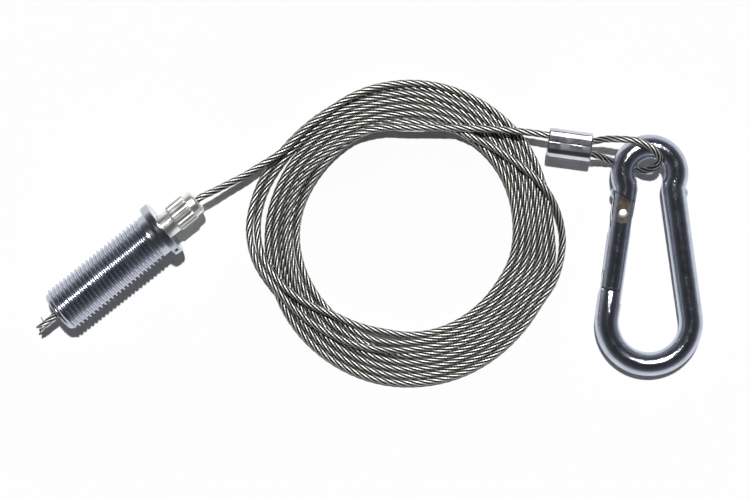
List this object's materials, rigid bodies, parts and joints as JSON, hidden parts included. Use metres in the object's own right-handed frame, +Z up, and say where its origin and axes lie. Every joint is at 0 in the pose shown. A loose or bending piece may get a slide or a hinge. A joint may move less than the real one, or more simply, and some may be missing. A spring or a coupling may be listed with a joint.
{
  "type": "wire rope suspension kit",
  "caption": "Wire-rope suspension kit: threaded rope gripper with release button, coiled steel rope with a crimped ferrule and eye, and a small snap hook",
  "frame": {"origin": "on the surface that the kit lies on, under the middle of the gripper and the snap hook together", "axes": "+Z up, +X from the gripper towards the snap hook, +Y towards the eye of the snap hook"},
  "size_m": [0.1394, 0.0686, 0.0124],
  "materials": {
    "zinc_plate": "bright zinc plate, bluish grey, turned",
    "nickel_plate": "bright nickel plate, slightly warm",
    "brass": "plain turned brass",
    "ball_steel": "hardened and polished steel",
    "spring_steel": "drawn spring wire",
    "rope_steel": "galvanised wire strands, grey with bright wire crowns",
    "ferrule_aluminium": "pressed aluminium, satin",
    "hook_plate": "polished zinc plate, bluish",
    "rivet_steel": "bright rivet steel"
  },
  "bodies": {
    "rope": {"rope_tail": "rope_steel", "rope_lead": "rope_steel", "rope_coil": "rope_steel", "rope_ferrule_lead": "rope_steel", "rope_eye": "rope_steel", "ferrule": "ferrule_aluminium"},
    "gripper": {"threaded_barrel": "zinc_plate", "barrel_plug": "zinc_plate", "release_spring": "spring_steel"},
    "button": {"release_button": "nickel_plate", "ball_cage": "brass", "clamping_ball_upper": "ball_steel", "clamping_ball_left": "ball_steel", "clamping_ball_right": "ball_steel"},
    "hook": {"hook_body": "hook_plate", "gate_rivet": "rivet_steel"},
    "gate": {"gate": "hook_plate", "gate_spring": "spring_steel"},
    "pusher": {"gate_pusher": "ball_steel"}
  },
  "joints": [
    {"name": "gripper_slide", "type": "slide", "parent": "rope", "child": "gripper", "axis": [0.7764, 0.6287, 0.0447], "range_m": [-0.0028, 0]},
    {"name": "button_press", "type": "slide", "parent": "gripper", "child": "button", "axis": [-0.7764, -0.6287, -0.0447], "range_m": [0, 0.0022], "stiffness_N_per_m": 40, "springref_m": -0.0015, "deforming": ["release_spring"]},
    {"name": "hook_swivel", "type": "hinge", "parent": "rope", "child": "hook", "pos_m": [0.0576, 0.01715, 0.00431], "axis": [0, -0.0453, 0.999], "range_deg": [-12, 70]},
    {"name": "gate_swing", "type": "hinge", "parent": "hook", "child": "gate", "pos_m": [0.05191, 0.00883, 0.00393], "axis": [0, -0.0453, 0.999], "range_deg": [0, 32], "stiffness_Nm_per_rad": 0.0004, "springref_deg": -28.65},
    {"name": "pusher_slide", "type": "slide", "parent": "gate", "child": "pusher", "axis": [-0.1392, -0.9893, -0.0449], "range_m": [0, 0.00095], "stiffness_N_per_m": 0.03, "springref_m": -0.003, "deforming": ["gate_spring"]}
  ],
  "couplings": [
    {"joint": "pusher_slide", "follows": "gate_swing", "m_per_rad": 0.00165}
  ]
}
